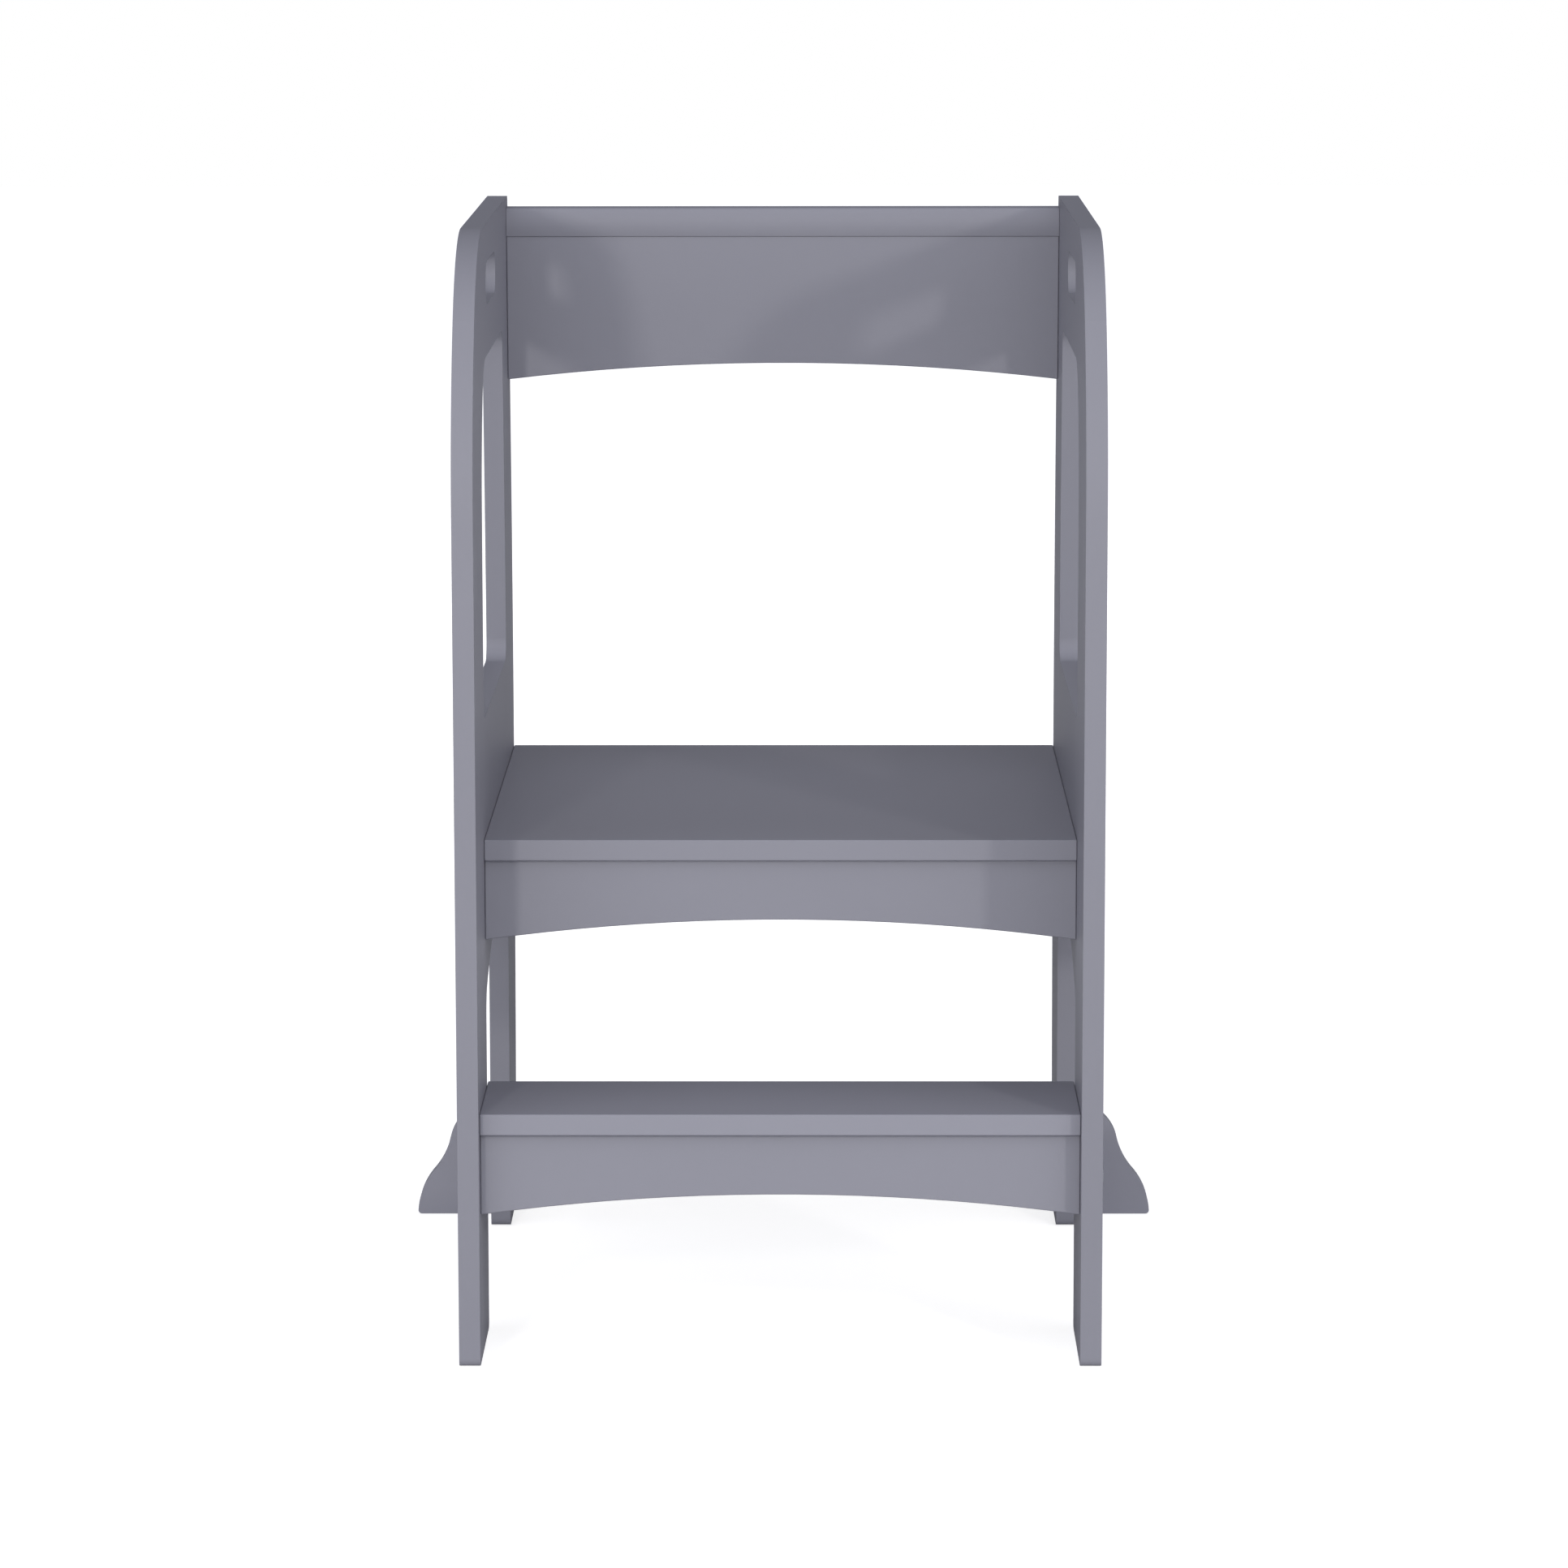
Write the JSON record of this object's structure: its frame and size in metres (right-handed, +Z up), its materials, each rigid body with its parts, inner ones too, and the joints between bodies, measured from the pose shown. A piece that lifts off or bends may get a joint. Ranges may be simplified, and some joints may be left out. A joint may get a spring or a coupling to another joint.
{
  "type": "toddler kitchen helper stool",
  "caption": "Free-standing step stool that lifts a small child to a counter: one-piece arched sides with windows and hand slots, a step, a platform and a leaning guard rail.",
  "frame": {"origin": "on the floor, midway between the sides and midway between the front and the back of the stool", "axes": "+Z up; +Y from the step towards the guard rail; +X to the right of someone who stands before the step and looks at the stool"},
  "size_m": [0.608, 0.58, 0.843],
  "materials": {
    "grey_paint": "satin cool grey paint on smooth board",
    "zinc_steel": "bright zinc plating",
    "beech": "bare turned beech"
  },
  "bodies": {
    "root": {"side_panel_left": "grey_paint", "side_panel_right": "grey_paint", "platform_board": "grey_paint", "platform_apron_front": "grey_paint", "platform_apron_rear": "grey_paint", "step_board": "grey_paint", "step_apron": "grey_paint", "rail_panel": "grey_paint", "rail_cap": "grey_paint", "stabiliser_left": "grey_paint", "stabiliser_right": "grey_paint", "platform_front_screws": "zinc_steel", "platform_rear_screws": "zinc_steel", "step_screws": "zinc_steel", "step_apron_screws": "zinc_steel", "rail_lower_screws": "zinc_steel", "rail_upper_screws": "zinc_steel", "stabiliser_lower_screws": "zinc_steel", "stabiliser_upper_screws": "zinc_steel", "rail_cap_dowels": "beech"}
  },
  "joints": []
}
